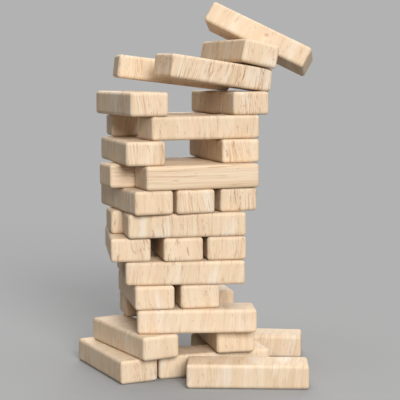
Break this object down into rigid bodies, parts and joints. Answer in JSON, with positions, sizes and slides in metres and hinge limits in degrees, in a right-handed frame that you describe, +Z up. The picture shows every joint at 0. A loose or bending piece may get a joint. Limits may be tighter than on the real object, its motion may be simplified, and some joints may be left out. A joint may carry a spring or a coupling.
{
  "type": "giant tumbling tower",
  "caption": "Half-played stack of loose rounded wooden blocks, in courses that cross each other, with the top ones starting to topple; each block slides out along its length.",
  "frame": {"origin": "on the ground, in the middle of the footprint of all the blocks", "axes": "+Z up the tower, -Y towards the players, +X to their right"},
  "size_m": [0.4018, 0.339, 0.608],
  "materials": {
    "pine": "planed and sanded pine, unvarnished, with rounded edges"
  },
  "bodies": {
    "base": {"course_01_front": "pine", "course_01_rear": "pine"},
    "base_left": {"base_left": "pine"},
    "course_02_left": {"course_02_left": "pine"},
    "course_02_right": {"course_02_right": "pine"},
    "course_03_front": {"course_03_front": "pine"},
    "course_03_rear": {"course_03_rear": "pine"},
    "course_04_left": {"course_04_left": "pine"},
    "course_04_middle": {"course_04_middle": "pine"},
    "course_05_front": {"course_05_front": "pine"},
    "course_05_rear": {"course_05_rear": "pine"},
    "course_06_left": {"course_06_left": "pine"},
    "course_06_middle": {"course_06_middle": "pine"},
    "course_06_right": {"course_06_right": "pine"},
    "course_07_front": {"course_07_front": "pine"},
    "course_07_middle": {"course_07_middle": "pine"},
    "course_07_rear": {"course_07_rear": "pine"},
    "course_08_left": {"course_08_left": "pine"},
    "course_08_middle": {"course_08_middle": "pine"},
    "course_08_right": {"course_08_right": "pine"},
    "course_09_front": {"course_09_front": "pine"},
    "course_09_middle": {"course_09_middle": "pine"},
    "course_09_rear": {"course_09_rear": "pine"},
    "course_10_left": {"course_10_left": "pine"},
    "course_10_right": {"course_10_right": "pine"},
    "course_11_front": {"course_11_front": "pine"},
    "course_11_rear": {"course_11_rear": "pine"},
    "course_12_left": {"course_12_left": "pine"},
    "course_12_right": {"course_12_right": "pine"},
    "course_13_front": {"course_13_front": "pine"},
    "course_13_rear": {"course_13_rear": "pine"},
    "course_14_block": {"course_14_block": "pine"},
    "loose_front": {"loose_front": "pine"},
    "top_block": {"top_block": "pine"}
  },
  "joints": [
    {"name": "base_left_slide", "type": "slide", "parent": "base", "child": "base_left", "axis": [-0.4462, 0.8949, 0], "range_m": [-0.19, 0.19]},
    {"name": "course_02_left_slide", "type": "slide", "parent": "base", "child": "course_02_left", "axis": [-0.5, 0.866, 0], "range_m": [-0.19, 0.19]},
    {"name": "course_02_right_slide", "type": "slide", "parent": "base", "child": "course_02_right", "axis": [-0.225, 0.9744, 0], "range_m": [-0.19, 0.19]},
    {"name": "course_03_front_slide", "type": "slide", "parent": "base", "child": "course_03_front", "axis": [0.9976, 0.0698, 0], "range_m": [-0.19, 0.19]},
    {"name": "course_03_rear_slide", "type": "slide", "parent": "base", "child": "course_03_rear", "axis": [0.9703, 0.2419, 0], "range_m": [-0.19, 0.19]},
    {"name": "course_04_left_slide", "type": "slide", "parent": "base", "child": "course_04_left", "axis": [-0.2079, 0.9781, 0], "range_m": [-0.19, 0.19]},
    {"name": "course_04_middle_slide", "type": "slide", "parent": "base", "child": "course_04_middle", "axis": [-0.1908, 0.9816, 0], "range_m": [-0.19, 0.19]},
    {"name": "course_05_front_slide", "type": "slide", "parent": "base", "child": "course_05_front", "axis": [0.9962, 0.0872, 0], "range_m": [-0.19, 0.19]},
    {"name": "course_05_rear_slide", "type": "slide", "parent": "base", "child": "course_05_rear", "axis": [0.9848, 0.1736, 0], "range_m": [-0.19, 0.19]},
    {"name": "course_06_left_slide", "type": "slide", "parent": "base", "child": "course_06_left", "axis": [-0.1219, 0.9925, 0], "range_m": [-0.19, 0.19]},
    {"name": "course_06_middle_slide", "type": "slide", "parent": "base", "child": "course_06_middle", "axis": [-0.1736, 0.9848, 0], "range_m": [-0.19, 0.19]},
    {"name": "course_06_right_slide", "type": "slide", "parent": "base", "child": "course_06_right", "axis": [-0.1736, 0.9848, 0], "range_m": [-0.19, 0.19]},
    {"name": "course_07_front_slide", "type": "slide", "parent": "base", "child": "course_07_front", "axis": [0.9781, 0.2079, 0], "range_m": [-0.19, 0.19]},
    {"name": "course_07_middle_slide", "type": "slide", "parent": "base", "child": "course_07_middle", "axis": [0.9781, 0.2079, 0], "range_m": [-0.19, 0.19]},
    {"name": "course_07_rear_slide", "type": "slide", "parent": "base", "child": "course_07_rear", "axis": [0.9781, 0.2079, 0], "range_m": [-0.19, 0.19]},
    {"name": "course_08_left_slide", "type": "slide", "parent": "base", "child": "course_08_left", "axis": [-0.3584, 0.9336, 0], "range_m": [-0.19, 0.19]},
    {"name": "course_08_middle_slide", "type": "slide", "parent": "base", "child": "course_08_middle", "axis": [-0.3584, 0.9336, 0], "range_m": [-0.19, 0.19]},
    {"name": "course_08_right_slide", "type": "slide", "parent": "base", "child": "course_08_right", "axis": [-0.3584, 0.9336, 0], "range_m": [-0.19, 0.19]},
    {"name": "course_09_front_slide", "type": "slide", "parent": "base", "child": "course_09_front", "axis": [0.9336, 0.3584, 0], "range_m": [-0.19, 0.19]},
    {"name": "course_09_middle_slide", "type": "slide", "parent": "base", "child": "course_09_middle", "axis": [0.9336, 0.3584, 0], "range_m": [-0.19, 0.19]},
    {"name": "course_09_rear_slide", "type": "slide", "parent": "base", "child": "course_09_rear", "axis": [0.9336, 0.3584, 0], "range_m": [-0.19, 0.19]},
    {"name": "course_10_left_slide", "type": "slide", "parent": "base", "child": "course_10_left", "axis": [-0.284, 0.9588, 0], "range_m": [-0.19, 0.19]},
    {"name": "course_10_right_slide", "type": "slide", "parent": "base", "child": "course_10_right", "axis": [-0.2924, 0.9563, 0], "range_m": [-0.19, 0.19]},
    {"name": "course_11_front_slide", "type": "slide", "parent": "base", "child": "course_11_front", "axis": [0.9063, 0.4226, 0], "range_m": [-0.19, 0.19]},
    {"name": "course_11_rear_slide", "type": "slide", "parent": "base", "child": "course_11_rear", "axis": [0.9744, 0.225, 0], "range_m": [-0.19, 0.19]},
    {"name": "course_12_left_slide", "type": "slide", "parent": "base", "child": "course_12_left", "axis": [-0.3665, 0.9304, 0], "range_m": [-0.19, 0.19]},
    {"name": "course_12_right_slide", "type": "slide", "parent": "base", "child": "course_12_right", "axis": [-0.3746, 0.9272, 0], "range_m": [-0.19, 0.19]},
    {"name": "course_13_front_slide", "type": "slide", "parent": "base", "child": "course_13_front", "axis": [0.8586, 0.4957, -0.1305], "range_m": [-0.19, 0]},
    {"name": "course_13_rear_slide", "type": "slide", "parent": "base", "child": "course_13_rear", "axis": [0.9726, 0.1979, -0.1219], "range_m": [-0.19, 0]},
    {"name": "course_14_block_slide", "type": "slide", "parent": "base", "child": "course_14_block", "axis": [-0.3665, 0.9304, 0], "range_m": [-0.19, 0.19]},
    {"name": "loose_front_slide", "type": "slide", "parent": "base", "child": "loose_front", "axis": [0.9994, -0.0349, 0], "range_m": [0, 0.19]},
    {"name": "top_block_lift", "type": "slide", "parent": "base", "child": "top_block", "axis": [0.4788, 0.1842, 0.8584], "range_m": [0, 0.15]}
  ]
}
